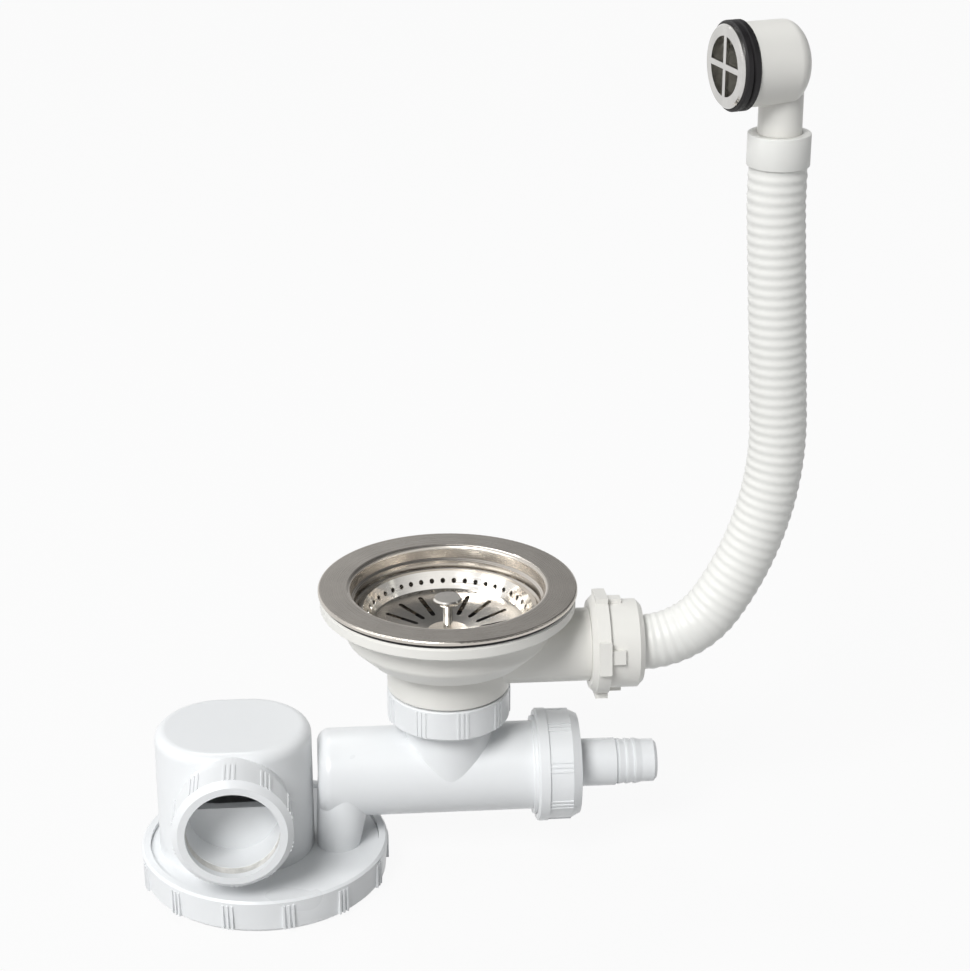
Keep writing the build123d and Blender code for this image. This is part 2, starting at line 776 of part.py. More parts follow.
with BuildPart() as appliance_nozzle:
    with BuildSketch(tee_section):
        with BuildLine():
            Polyline(
                (nozzle_flange_x, nozzle_bore_r),
                (nozzle_flange_x, nozzle_flange_r),
                (app_lip_x, nozzle_flange_r),
                (app_lip_x, nozzle_neck_r),
                (app_nut_end_x + nozzle_neck_gap, nozzle_neck_r),
                (app_nut_end_x + nozzle_neck_gap, nozzle_r),
                (nozzle_smooth_x, nozzle_r),
                (barb_start_x, barb_root_r),
                (nozzle_end_x - nozzle_end_edge, barb_root_r),
                (nozzle_end_x, barb_root_r - nozzle_end_edge),
                (nozzle_end_x, nozzle_bore_r),
                close=True,
            )
        make_face()
    revolve(axis=tee_axis)
    for k in range(barb_count):
        barb_x = barb_start_x + k * barb_pitch
        with BuildSketch(tee_section):
            with BuildLine():
                Polyline(
                    (barb_x, barb_foot_r),
                    (barb_x, barb_crest_r),
                    (barb_x + barb_top_w, barb_crest_r),
                    (barb_x + barb_pitch, barb_root_r),
                    (barb_x + barb_pitch, barb_foot_r),
                    close=True,
                )
            make_face()
        revolve(axis=tee_axis)
appliance_nozzle.part.label = "appliance_nozzle"
export_step(appliance_nozzle.part, "parts/appliance_nozzle.step")

# Bayonet nut on the overflow branch
over_section = Plane((0, 0, over_z), x_dir=(1, 0, 0), z_dir=(0, -1, 0))
over_axis = Axis((0, 0, over_z), (1, 0, 0))
over_flange_end_x = over_nut_x + over_flange_w
over_nut_bore_r = over_branch_r + thread_gap
over_nut_r = over_branch_r + over_nut_wall
over_flange_r = over_nut_r + over_flange_h
over_wing_mid_r = over_nut_r + over_wing_h - over_wing_depth / 2
over_first_angle = 2 * upright_angle - over_lug_angle
over_lip_bore_r = hose_r + thread_gap
with BuildPart() as overflow_nut:
    with BuildSketch(over_section):
        with BuildLine():
            Polyline(
                (over_nut_x, over_nut_bore_r),
                (over_nut_x, over_flange_r - over_flange_edge),
                (over_nut_x + over_flange_edge, over_flange_r),
                (over_flange_end_x, over_flange_r),
                (over_flange_end_x, over_nut_r),
                (over_nut_end_x - over_nut_chamfer, over_nut_r),
                (over_nut_end_x, over_nut_r - over_nut_chamfer),
                (over_nut_end_x, over_lip_bore_r),
                (over_nut_lip_x, over_lip_bore_r),
                (over_nut_lip_x, over_nut_bore_r),
                close=True,
            )
        make_face()
    revolve(axis=over_axis)
    with BuildSketch(over_plane.offset(over_nut_x + over_flange_edge)):
        with PolarLocations(over_wing_mid_r, over_lug_count, start_angle=over_first_angle):
            Rectangle(over_wing_depth, over_wing_w)
    extrude(amount=over_flange_w - over_flange_edge)
    with BuildSketch(over_plane.offset(over_flange_end_x)):
        with PolarLocations(over_nut_r, over_lug_count, start_angle=over_first_angle):
            Rectangle(2 * over_lug_h, over_lug_w)
    extrude(amount=over_lug_len)
overflow_nut.part.label = "overflow_nut"
export_step(overflow_nut.part, "parts/overflow_nut.step")

# Route of the overflow hose: out of the nut, two bends up, a run that leans back and the cuff
hose_start_x = over_nut_lip_x - hose_flange_t
hose_lean_angle = hose_bend_1_angle + hose_bend_2_angle - upright_angle
with BuildLine(Plane.XZ) as hose_route:
    run_in = Line((hose_start_x, over_z), (over_nut_end_x, over_z))
    bend_1 = JernArc(run_in @ 1, run_in % 1, hose_bend_1_r, hose_bend_1_angle)
    bend_2 = JernArc(bend_1 @ 1, bend_1 % 1, hose_bend_2_r, hose_bend_2_angle)
    run_up = Line(bend_2 @ 1, bend_2 @ 1 + (bend_2 % 1) * hose_straight)
    bend_3 = JernArc(run_up @ 1, run_up % 1, hose_bend_3_r, -hose_lean_angle)
    Line(bend_3 @ 1, bend_3 @ 1 + (bend_3 % 1) * (hose_plain + cuff_len))
hose_wire = hose_route.wire()
cuff_top = hose_wire @ 1

# Hose and cuff, blown in one piece: a groove between each two rings
hose_rings_start = over_nut_end_x - hose_start_x - hose_pitch
hose_rings_len = hose_wire.length - cuff_len - hose_rings_start
hose_ring_count = round(hose_rings_len / hose_pitch)
ring_len = hose_rings_len / hose_ring_count
hose_bore_r = spigot_r + push_gap
hose_flange_r = over_branch_r - hose_flange_gap
hose_groove_r = hose_r - hose_groove
cuff_r = spigot_r + cuff_wall
with BuildPart() as overflow_hose:
    stations = [(0, hose_r), (hose_rings_start, hose_r)]
    for k in range(hose_ring_count):
        ring_end = hose_rings_start + (k + 1) * ring_len
        stations.append((ring_end - ring_len / 2, hose_groove_r))
        stations.append((ring_end, hose_r))
    for along, radius in stations:
        place = hose_wire.position_at(along, position_mode=PositionMode.LENGTH)
        heading = hose_wire.tangent_at(along, position_mode=PositionMode.LENGTH)
        with BuildSketch(Plane(place, x_dir=(0, 1, 0), z_dir=heading)):
            Circle(radius)
    loft(ruled=True)
    with BuildSketch(over_plane.offset(hose_start_x)):
        Circle(hose_flange_r)
    extrude(amount=hose_flange_t)
    with BuildSketch(Plane(cuff_top)):
        Circle(cuff_r)
    extrude(amount=-cuff_len)
    with BuildSketch(over_plane.offset(hose_start_x)):
        Circle(hose_bore_r)
    sweep(path=hose_wire, mode=Mode.SUBTRACT)
overflow_hose.part.label = "overflow_hose"
export_step(overflow_hose.part, "parts/overflow_hose.step")

with BuildPart() as overflow_seal:
    with BuildSketch(over_plane.offset(over_branch_end_x)):
        Circle(hose_flange_r)
        Circle(over_bore_r, mode=Mode.SUBTRACT)
    extrude(amount=hose_start_x - over_branch_end_x)
overflow_seal.part.label = "overflow_seal"
export_step(overflow_seal.part, "parts/overflow_seal.step")

# Overflow head: a round box that opens toward the bowl, with a spigot down into the cuff
head_z = cuff_top.Z + head_drop
facing = Vector(-cos(radians(head_turn_angle)), -sin(radians(head_turn_angle)), 0)
head_origin = Vector(cuff_top.X, cuff_top.Y, head_z)
head_section = Plane(head_origin, x_dir=facing, z_dir=facing.cross(Vector(0, 0, 1)))
head_face = Plane(head_origin, x_dir=(0, 0, 1), z_dir=facing)
head_axis = Axis(head_origin, facing)
head_bore_r = head_r - head_wall
spigot_low_z = cuff_top.Z - cuff_len
spigot_plane = Plane((cuff_top.X, cuff_top.Y, spigot_low_z))
with BuildPart() as overflow_elbow:
    with BuildSketch(head_section):
        with BuildLine():
            Polyline((0, head_r), (head_front, head_r), (head_front, 0), (-head_back, 0))
            EllipticalCenterArc((0, 0), head_back, head_r, upright_angle, arc_size=upright_angle)
        make_face()
    revolve(axis=head_axis)
    with BuildSketch(spigot_plane):
        Circle(spigot_r)
    extrude(amount=head_z - spigot_low_z)
    with BuildSketch(head_face.offset(-head_pocket)):
        Circle(head_bore_r)
    extrude(amount=head_front + head_pocket, mode=Mode.SUBTRACT)
    with BuildSketch(spigot_plane):
        Circle(spigot_r - spigot_wall)
    extrude(amount=head_z - spigot_low_z, mode=Mode.SUBTRACT)
overflow_elbow.part.label = "overflow_elbow"
export_step(overflow_elbow.part, "parts/overflow_elbow.step")

# Thick gasket with two ridges
gasket_r = head_r + gasket_lip
grille_shank_r = head_bore_r - thread_gap
gasket_hole_r = grille_shank_r + push_gap
gasket_mid = head_front + gasket_t / 2
gasket_end = head_front + gasket_t
with BuildPart() as overflow_gasket:
    with BuildSketch(head_section):
        with BuildLine():
            Polyline(
                (head_front, gasket_hole_r),
                (head_front, gasket_r - gasket_edge),
                (head_front + gasket_edge, gasket_r),
                (gasket_mid - gasket_groove_w / 2, gasket_r),
                (gasket_mid, gasket_r - gasket_groove),
                (gasket_mid + gasket_groove_w / 2, gasket_r),
                (gasket_end - gasket_edge, gasket_r),
                (gasket_end, gasket_r - gasket_edge),
                (gasket_end, gasket_hole_r),
                close=True,
            )
        make_face()
    revolve(axis=head_axis)
overflow_gasket.part.label = "overflow_gasket"
export_step(overflow_gasket.part, "parts/overflow_gasket.step")

# Grille: flange, threaded shank and a cross over four windows
grille_r = head_r - grille_lip
with BuildPart() as overflow_grille:
    with BuildSketch(head_face.offset(gasket_end)):
        Circle(grille_r)
    extrude(amount=grille_t)
    chamfer(overflow_grille.faces().sort_by(head_axis)[-1].edges(), grille_edge)
    with BuildSketch(head_face.offset(gasket_end - grille_shank_len)):
        Circle(grille_shank_r)
    extrude(amount=grille_shank_len)
    with BuildSketch(head_face.offset(gasket_end - grille_shank_len)):
        Circle(grille_shank_r - grille_shank_wall)
    extrude(amount=grille_shank_len, mode=Mode.SUBTRACT)
    with BuildSketch(head_face.offset(gasket_end)):
        Circle(grille_window_r)
        Rectangle(2 * grille_window_r, grille_bar_w, mode=Mode.SUBTRACT)
        Rectangle(grille_bar_w, 2 * grille_window_r, mode=Mode.SUBTRACT)
    extrude(amount=grille_t, mode=Mode.SUBTRACT)
overflow_grille.part.label = "overflow_grille"
export_step(overflow_grille.part, "parts/overflow_grille.step")
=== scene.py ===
from math import cos, radians, sin, tau

import bmesh
import bpy
from bpy.props import FloatProperty, FloatVectorProperty, IntProperty, PointerProperty
from bpy.types import Operator, Panel, PropertyGroup
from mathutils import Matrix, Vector


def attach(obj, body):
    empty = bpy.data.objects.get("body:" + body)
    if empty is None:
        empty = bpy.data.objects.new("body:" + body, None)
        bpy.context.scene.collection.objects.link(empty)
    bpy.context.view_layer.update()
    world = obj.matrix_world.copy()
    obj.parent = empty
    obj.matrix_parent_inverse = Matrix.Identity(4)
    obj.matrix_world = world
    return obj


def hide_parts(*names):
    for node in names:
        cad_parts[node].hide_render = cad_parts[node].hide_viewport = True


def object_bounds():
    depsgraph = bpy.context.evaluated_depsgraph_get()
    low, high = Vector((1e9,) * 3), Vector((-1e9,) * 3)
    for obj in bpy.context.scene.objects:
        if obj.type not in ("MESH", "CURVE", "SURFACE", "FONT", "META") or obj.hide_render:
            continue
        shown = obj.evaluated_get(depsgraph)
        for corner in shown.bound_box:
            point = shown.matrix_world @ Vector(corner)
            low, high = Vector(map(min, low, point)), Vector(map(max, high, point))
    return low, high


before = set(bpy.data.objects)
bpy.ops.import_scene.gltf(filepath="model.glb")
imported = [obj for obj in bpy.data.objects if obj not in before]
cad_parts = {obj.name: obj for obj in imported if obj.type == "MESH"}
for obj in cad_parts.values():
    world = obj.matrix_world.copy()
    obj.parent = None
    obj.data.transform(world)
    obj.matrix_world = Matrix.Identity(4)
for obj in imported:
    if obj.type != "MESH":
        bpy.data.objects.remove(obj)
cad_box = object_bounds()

bl_info = {
    "name": "Sink waste and trap kit",
    "version": (1, 0, 0),
    "blender": (4, 5, 0),
    "location": "3D View > Sidebar > Waste kit",
    "description": "Finishes of a basket strainer waste with its trap and overflow, and a studio",
    "category": "Object",
}

STEEL_NODES = ("strainer_flange",)
BRIGHT_NODES = ("strainer_basket", "basket_knob", "stem_clip", "clamp_screw")
RUBBER_NODES = (
    "basket_stopper", "sink_seal", "inlet_seal", "base_seal", "appliance_seal", "overflow_seal",
    "overflow_gasket",
)
PALE_RUBBER_NODES = ("outlet_seal",)
BRASS_NODES = ("screw_insert",)
CHROME_NODES = ("overflow_grille",)
CREAM_NODES = ("waste_body", "overflow_nut", "overflow_elbow")
WHITE_NODES = (
    "trap_body", "base_cap", "inlet_nut", "outlet_nut", "appliance_nut", "appliance_nozzle",
)

# Vertices of the spun hose closer than this, in metres, are one
SAME_PLACE = 1e-6

# How far flow marks, brushing and haze change the gloss of a finish
FLOW_MARKS = 0.05
BRUSHED_SMOOTH = 0.06
BRUSHED_ROUGH = 0.10
PLATING_HAZE = 0.10

# Stage, in metres: what the lamps light, where they stand, how broad they are, and the floor
LIT_POINT = (0.0, 0.0, -0.03)
KEY_PLACE = (-0.60, -0.95, 1.05)
SIDE_PLACE = (-1.1, -0.35, 0.40)
BACK_PLACE = (-0.25, 0.55, 1.0)
SIDE_SIZE = 0.7
BACK_SIZE = 0.35
FLOOR_HALF = 6.0
FLOOR_GAP = 0.0002

# Reflections of the room are white toward this side, and darken between two shares of the way to it
BRIGHT_SIDE = (-0.45, -0.30, -0.84)
DARK_SHARE = 0.08
WHITE_SHARE = 0.34
WHITE = (1.0, 1.0, 1.0, 1.0)
ROOM_TINT = (0.96, 0.98, 1.0, 1.0)


def colour(name, description, value):
    """A colour that the user may change."""
    return FloatVectorProperty(
        name=name, description=description, subtype="COLOR", size=3, min=0.0, max=1.0, default=value
    )


def length(name, description, value):
    """A length in metres that the user may change."""
    return FloatProperty(name=name, description=description, unit="LENGTH", default=value, precision=5)


def number(name, description, value):
    """A plain number, zero or more, that the user may change."""
    return FloatProperty(name=name, description=description, min=0.0, default=value)


def angle(name, description, degrees):
    """An angle that the user may change."""
    return FloatProperty(name=name, description=description, subtype="ANGLE", default=radians(degrees))


class WasteKitFinishes(PropertyGroup):
    """Colours of the finishes."""

    satin: colour("Satin steel", "Brushed rim and wall of the strainer dish", (0.63, 0.59, 0.54))
    bright: colour("Bright steel", "Polished basket, knob and screw", (0.86, 0.83, 0.78))
    rubber: colour("Rubber", "Seals, stopper and overflow gasket", (0.011, 0.010, 0.011))
    pale: colour("Pale rubber", "Seal in the outlet", (0.70, 0.69, 0.66))
    brass: colour("Brass", "Insert that the clamp screw goes into", (0.60, 0.42, 0.16))
    cream: colour("Cream plastic", "Waste body, bayonet nut and overflow head", (0.83, 0.82, 0.78))
    hose: colour("Hose plastic", "Corrugated overflow hose and its cuff", (0.83, 0.83, 0.80))
    white: colour("White plastic", "Trap, base cap, ribbed nuts and nozzle", (0.83, 0.845, 0.855))
    chrome: colour("Chrome", "Overflow grille", (0.66, 0.65, 0.63))


class WasteKitHose(PropertyGroup):
    """Sizes of the overflow hose, those of its solid but for softer and shallower rings."""

    start_x: length("Start", "Where the hose flange sits in the nut", 0.0780)
    axis_z: length("Height of the branch", "Height of the overflow branch's axis", -0.0303)
    nut_end_x: length("End of the nut", "Where the hose comes out of the nut", 0.0860)
    bend_1_r: length("First bend radius", "Radius of the tight bend out of the nut", 0.0400)
    bend_1: angle("First bend", "How far the tight bend turns", 57.0)
    bend_2_r: length("Second bend radius", "Radius of the long bend", 0.1480)
    bend_2: angle("Second bend", "How far the long bend turns", 36.2)
    straight: length("Straight run", "Length of the straight run", 0.0888)
    bend_3_r: length("Top bend radius", "Radius of the slight bend under the cuff", 0.1700)
    plain: length("Plain end", "Straight length under the cuff", 0.0125)
    cuff: length("Cuff", "Length of the smooth cuff", 0.0135)
    crest_r: length("Crest radius", "Outside radius of a ring", 0.0124)
    groove_r: length("Groove radius", "Outside radius at the bottom of a groove", 0.01203)
    pitch: length("Ring pitch", "Length of one ring", 0.0044)
    ring_steps: IntProperty(name="Ring steps", description="Steps along one ring", default=8, min=4, max=16)
    cuff_r: length("Cuff radius", "Outside radius of the cuff", 0.0132)
    edge: length("Cuff edge", "Round on the cuff's edges", 0.0003)
    flange_r: length("Flange radius", "Radius of the flange held in the nut", 0.0160)
    flange_t: length("Flange thickness", "Thickness of the flange held in the nut", 0.0024)
    bore_r: length("Bore radius", "Inside radius", 0.00935)
    sides: IntProperty(name="Sides", description="Steps round the hose", default=72, min=24, max=160)


class WasteKitStage(PropertyGroup):
    """Floor, light and camera."""

    floor_z: length("Floor height", "Height of the floor under the base cap", cad_box[0].z - FLOOR_GAP)
    floor: colour("Floor", "Grey of the floor paper, under its white", (0.55, 0.55, 0.55))
    camera_place: FloatVectorProperty(
        name="Camera", description="Where the camera stands", subtype="TRANSLATION", size=3,
        default=(-0.05864, -0.95437, 0.44580),
    )
    camera_look: FloatVectorProperty(
        name="Camera direction", description="The way the camera looks", subtype="DIRECTION", size=3,
        default=(0.07244, 0.92048, -0.38402),
    )
    camera_lens: number("Lens", "Focal length in millimetres", 88.98)
    camera_sensor: number("Sensor", "Width of the sensor in millimetres", 36.0)
    key_level: number("Key light", "Strength of the broad light at the front left", 2.5)
    key_spread: angle("Key breadth", "How broad the key light is in the sky", 24.0)
    side_power: number("Side light", "Power of the low soft box at the left", 2.5)
    back_power: number("Back light", "Power of the soft box above the back", 3.0)
    world_level: number("Room light", "Strength of the even light", 0.20)
    dome_dark: number("Dark side", "Reflected level at the dark end of the room", 0.12)
    floor_glow: number("Floor white", "Share of plain white in the floor that the camera sees", 0.93)


def start_finish(name):
    """A node material with its shader and the object's own coordinates."""
    finish = bpy.data.materials.new(name)
    finish.use_nodes = True
    tree = finish.node_tree
    place = tree.nodes.new("ShaderNodeTexCoord").outputs["Object"]
    return finish, tree, tree.nodes["Principled BSDF"], place


def cloud(tree, place, scale, detail=3.0, roughness=0.55):
    """Soft noise through the material, between 0 and 1."""
    noise = tree.nodes.new("ShaderNodeTexNoise")
    noise.inputs["Scale"].default_value = scale
    noise.inputs["Detail"].default_value = detail
    noise.inputs["Roughness"].default_value = roughness
    tree.links.new(place, noise.inputs["Vector"])
    return noise.outputs["Fac"]


def spread(tree, value, low, high, start=0.3, stop=0.7):
    """Carries a value from one range to another."""
    change = tree.nodes.new("ShaderNodeMapRange")
    change.inputs["From Min"].default_value = start
    change.inputs["From Max"].default_value = stop
    change.inputs["To Min"].default_value = low
    change.inputs["To Max"].default_value = high
    tree.links.new(value, change.inputs["Value"])
    return change.outputs["Result"]


def tint(tree, value, dark, light, start=0.3, stop=0.7):
    """A colour between two tints of one material."""
    ramp = tree.nodes.new("ShaderNodeValToRGB")
    ramp.color_ramp.interpolation = "EASE"
    ramp.color_ramp.elements[0].position = start
    ramp.color_ramp.elements[0].color = (*dark, 1.0)
    ramp.color_ramp.elements[1].position = stop
    ramp.color_ramp.elements[1].color = (*light, 1.0)
    tree.links.new(value, ramp.inputs["Fac"])
    return ramp.outputs["Color"]


def relief(tree, shader, height, depth, strength=1.0):
    """Fine relief of that depth in metres."""
    bump = tree.nodes.new("ShaderNodeBump")
    bump.inputs["Strength"].default_value = strength
    bump.inputs["Distance"].default_value = depth
    tree.links.new(height, bump.inputs["Height"])
    tree.links.new(bump.outputs["Normal"], shader.inputs["Normal"])


def shaded(value, share):
    """The same colour, darker or lighter."""
    return tuple(channel * share for channel in value)


def moulded_plastic(name, base, gloss):
    """Injection moulded plastic: a slow drift in tint and faint flow marks in the gloss."""
    finish, tree, shader, place = start_finish(name)
    drift = cloud(tree, place, scale=16.0, detail=0.0)
    hue = tint(tree, drift, dark=shaded(base, share=0.96), light=base, start=0.0, stop=1.0)
    tree.links.new(hue, shader.inputs["Base Color"])
    flow = cloud(tree, place, scale=30.0, detail=0.0)
    grain = spread(tree, flow, low=gloss - FLOW_MARKS, high=gloss + FLOW_MARKS, start=0.0, stop=1.0)
    tree.links.new(grain, shader.inputs["Roughness"])
    shader.inputs["IOR"].default_value = 1.49
    return finish


def turned_steel(name, base, gloss, depth, lines):
    """Steel with rings left by brushing round the strainer's axis."""
    finish, tree, shader, place = start_finish(name)
    flat = tree.nodes.new("ShaderNodeVectorMath")
    flat.operation = "MULTIPLY"
    flat.inputs[1].default_value = (1.0, 1.0, 0.0)
    tree.links.new(place, flat.inputs[0])
    reach = tree.nodes.new("ShaderNodeVectorMath")
    reach.operation = "LENGTH"
    tree.links.new(flat.outputs["Vector"], reach.inputs[0])
    rings = tree.nodes.new("ShaderNodeTexNoise")
    rings.noise_dimensions = "1D"
    rings.inputs["Scale"].default_value = lines
    rings.inputs["Detail"].default_value = 4.0
    tree.links.new(reach.outputs["Value"], rings.inputs["W"])
    smear = cloud(tree, place, scale=60.0, detail=4.0)
    hue = tint(tree, smear, dark=shaded(base, share=0.90), light=base)
    tree.links.new(hue, shader.inputs["Base Color"])
    grain = spread(tree, rings.outputs["Fac"], low=gloss - BRUSHED_SMOOTH, high=gloss + BRUSHED_ROUGH)
    tree.links.new(grain, shader.inputs["Roughness"])
    relief(tree, shader, rings.outputs["Fac"], depth, strength=0.5)
    shader.inputs["Metallic"].default_value = 1.0
    return finish


def plated_metal(name, base, gloss, depth):
    """Plated or turned metal with a slightly uneven polish."""
    finish, tree, shader, place = start_finish(name)
    smear = cloud(tree, place, scale=90.0, detail=4.0)
    hue = tint(tree, smear, dark=shaded(base, share=0.88), light=base)
    tree.links.new(hue, shader.inputs["Base Color"])
    grain = spread(tree, cloud(tree, place, scale=320.0), low=gloss, high=gloss + PLATING_HAZE)
    tree.links.new(grain, shader.inputs["Roughness"])
    relief(tree, shader, cloud(tree, place, scale=700.0, detail=2.0), depth, strength=0.3)
    shader.inputs["Metallic"].default_value = 1.0
    return finish


def pressed_rubber(name, base):
    """Matt rubber with a fine grain and a grey bloom."""
    finish, tree, shader, place = start_finish(name)
    bloom = cloud(tree, place, scale=130.0, detail=5.0)
    hue = tint(tree, bloom, dark=shaded(base, share=0.8), light=shaded(base, share=1.25))
    tree.links.new(hue, shader.inputs["Base Color"])
    tree.links.new(spread(tree, bloom, low=0.42, high=0.60), shader.inputs["Roughness"])
    relief(tree, shader, cloud(tree, place, scale=1900.0, detail=2.0), depth=0.00008, strength=0.5)
    shader.inputs["Specular IOR Level"].default_value = 0.3
    return finish


def wear(names, finish):
    """Gives CAD nodes their finish."""
    for name in names:
        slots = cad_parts[name].data.materials
        slots.clear()
        slots.append(finish)


def place_piece(name, bm, finish, body):
    """Puts a finished mesh in the scene, on the body that carries it."""
    mesh = bpy.data.meshes.new(name)
    bm.to_mesh(mesh)
    bm.free()
    mesh.materials.append(finish)
    piece = bpy.data.objects.new(name, mesh)
    bpy.context.scene.collection.objects.link(piece)
    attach(piece, body)
    return piece


class WASTEKIT_OT_steel(Operator):
    """Satin steel on the dish, bright steel on the basket, knob, clip and screw"""

    bl_idname = "wastekit.steel"
    bl_label = "Steel"

    def execute(self, context):
        finishes = context.scene.wastekit_finishes
        satin = tuple(finishes.satin)
        bright = tuple(finishes.bright)
        wear(STEEL_NODES, turned_steel("satin_steel", satin, gloss=0.24, depth=0.00003, lines=5200.0))
        wear(BRIGHT_NODES, turned_steel("bright_steel", bright, gloss=0.11, depth=0.00002, lines=2600.0))
        return {"FINISHED"}


class WASTEKIT_OT_rubber(Operator):
    """Black rubber on the seals, the stopper and the overflow gasket, pale rubber in the outlet"""

    bl_idname = "wastekit.rubber"
    bl_label = "Rubber"

    def execute(self, context):
        finishes = context.scene.wastekit_finishes
        wear(RUBBER_NODES, pressed_rubber("black_rubber", tuple(finishes.rubber)))
        wear(PALE_RUBBER_NODES, pressed_rubber("pale_rubber", tuple(finishes.pale)))
        return {"FINISHED"}


class WASTEKIT_OT_brass(Operator):
    """Brass on the insert of the clamp screw"""

    bl_idname = "wastekit.brass"
    bl_label = "Brass insert"

    def execute(self, context):
        base = tuple(context.scene.wastekit_finishes.brass)
        wear(BRASS_NODES, plated_metal("brass", base, gloss=0.22, depth=0.00003))
        return {"FINISHED"}


class WASTEKIT_OT_plastic(Operator):
    """Cream plastic on the waste, white plastic on the trap and its nuts"""

    bl_idname = "wastekit.plastic"
    bl_label = "Plastic"

    def execute(self, context):
        finishes = context.scene.wastekit_finishes
        wear(CREAM_NODES, moulded_plastic("cream_plastic", tuple(finishes.cream), gloss=0.38))
        wear(WHITE_NODES, moulded_plastic("white_plastic", tuple(finishes.white), gloss=0.30))
        return {"FINISHED"}


class WASTEKIT_OT_grille(Operator):
    """Chrome on the overflow grille"""

    bl_idname = "wastekit.grille"
    bl_label = "Overflow grille"

    def execute(self, context):
        base = tuple(context.scene.wastekit_finishes.chrome)
        wear(CHROME_NODES, plated_metal("chrome", base, gloss=0.12, depth=0.00002))
        return {"FINISHED"}


class WASTEKIT_OT_hose(Operator):
    """Corrugated hose with rounded rings, a flange in the nut and a smooth cuff"""

    bl_idname = "wastekit.hose"
    bl_label = "Overflow hose"

    def route(self, size):
        """Stretches of the centre line, each with its length and how sharply it bends."""
        lean = size.bend_1 + size.bend_2 - tau / 4
        return (
            (size.nut_end_x - size.start_x, 0.0),
            (size.bend_1_r * size.bend_1, 1.0 / size.bend_1_r),
            (size.bend_2_r * size.bend_2, 1.0 / size.bend_2_r),
            (size.straight, 0.0),
            (size.bend_3_r * lean, -1.0 / size.bend_3_r),
            (size.plain + size.cuff, 0.0),
        )

    def straight_hose(self, size, whole):
        """The hose before it is bent, with its flange at zero and its cuff at the top."""
        first = size.nut_end_x - size.start_x - size.pitch
        rings_len = whole - size.cuff - first
        count = round(rings_len / size.pitch)
        ring = rings_len / count
        middle_r = (size.crest_r + size.groove_r) / 2
        wave = (size.crest_r - size.groove_r) / 2
        outline = [
            (size.bore_r, 0.0), (size.flange_r, 0.0), (size.flange_r, size.flange_t),
            (size.crest_r, size.flange_t),
        ]
        for k in range(count * size.ring_steps + 1):
            share = k / size.ring_steps
            outline.append((middle_r + wave * cos(tau * share), first + ring * share))
        cuff_foot = len(outline)
        outline += [(size.cuff_r, whole - size.cuff), (size.cuff_r, whole)]
        cuff_end = len(outline)
        outline += [(size.bore_r, whole * k / count) for k in range(count, 0, -1)]
        bm = bmesh.new()
        points = [bm.verts.new((radius, 0.0, along)) for radius, along in outline]
        for a, b in zip(points, points[1:] + points[:1]):
            bm.edges.new((a, b))
        bmesh.ops.bevel(
            bm, geom=points[cuff_foot:cuff_end], offset=size.edge, offset_type="OFFSET", segments=2,
            profile=0.5, affect="VERTICES", material=-1,
        )
        bmesh.ops.spin(
            bm, geom=bm.verts[:] + bm.edges[:], cent=(0, 0, 0), axis=(0, 0, 1), angle=tau,
            steps=size.sides, use_merge=True, use_duplicate=False,
        )
        bmesh.ops.remove_doubles(bm, verts=bm.verts[:], dist=SAME_PLACE)
        return bm

    def bent(self, size, stretches, point):
        """Where a point of the straight hose goes when the hose follows its route."""
        x, z, turn = size.start_x, size.axis_z, 0.0
        left = point.z
        for run, bend in stretches:
            step = min(max(left, 0.0), run)
            if bend:
                x += (sin(turn + step * bend) - sin(turn)) / bend
                z += (cos(turn) - cos(turn + step * bend)) / bend
            else:
                x += step * cos(turn)
                z += step * sin(turn)
            turn += step * bend
            left -= step
        return Vector((x - point.x * sin(turn), point.y, z + point.x * cos(turn)))

    def execute(self, context):
        size = context.scene.wastekit_hose
        stretches = self.route(size)
        bm = self.straight_hose(size, sum(run for run, bend in stretches))
        for vert in bm.verts:
            vert.co = self.bent(size, stretches, vert.co)
        # Bending moves every vertex, so the faces are measured again before they are turned outwards
        bm.normal_update()
        bmesh.ops.recalc_face_normals(bm, faces=bm.faces[:])
        for face in bm.faces:
            face.smooth = True
        base = tuple(context.scene.wastekit_finishes.hose)
        finish = moulded_plastic("hose_plastic", base, gloss=0.42)
        piece = place_piece("overflow_hose_rings", bm, finish, "kit")
        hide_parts("overflow_hose")
        return {"FINISHED"}


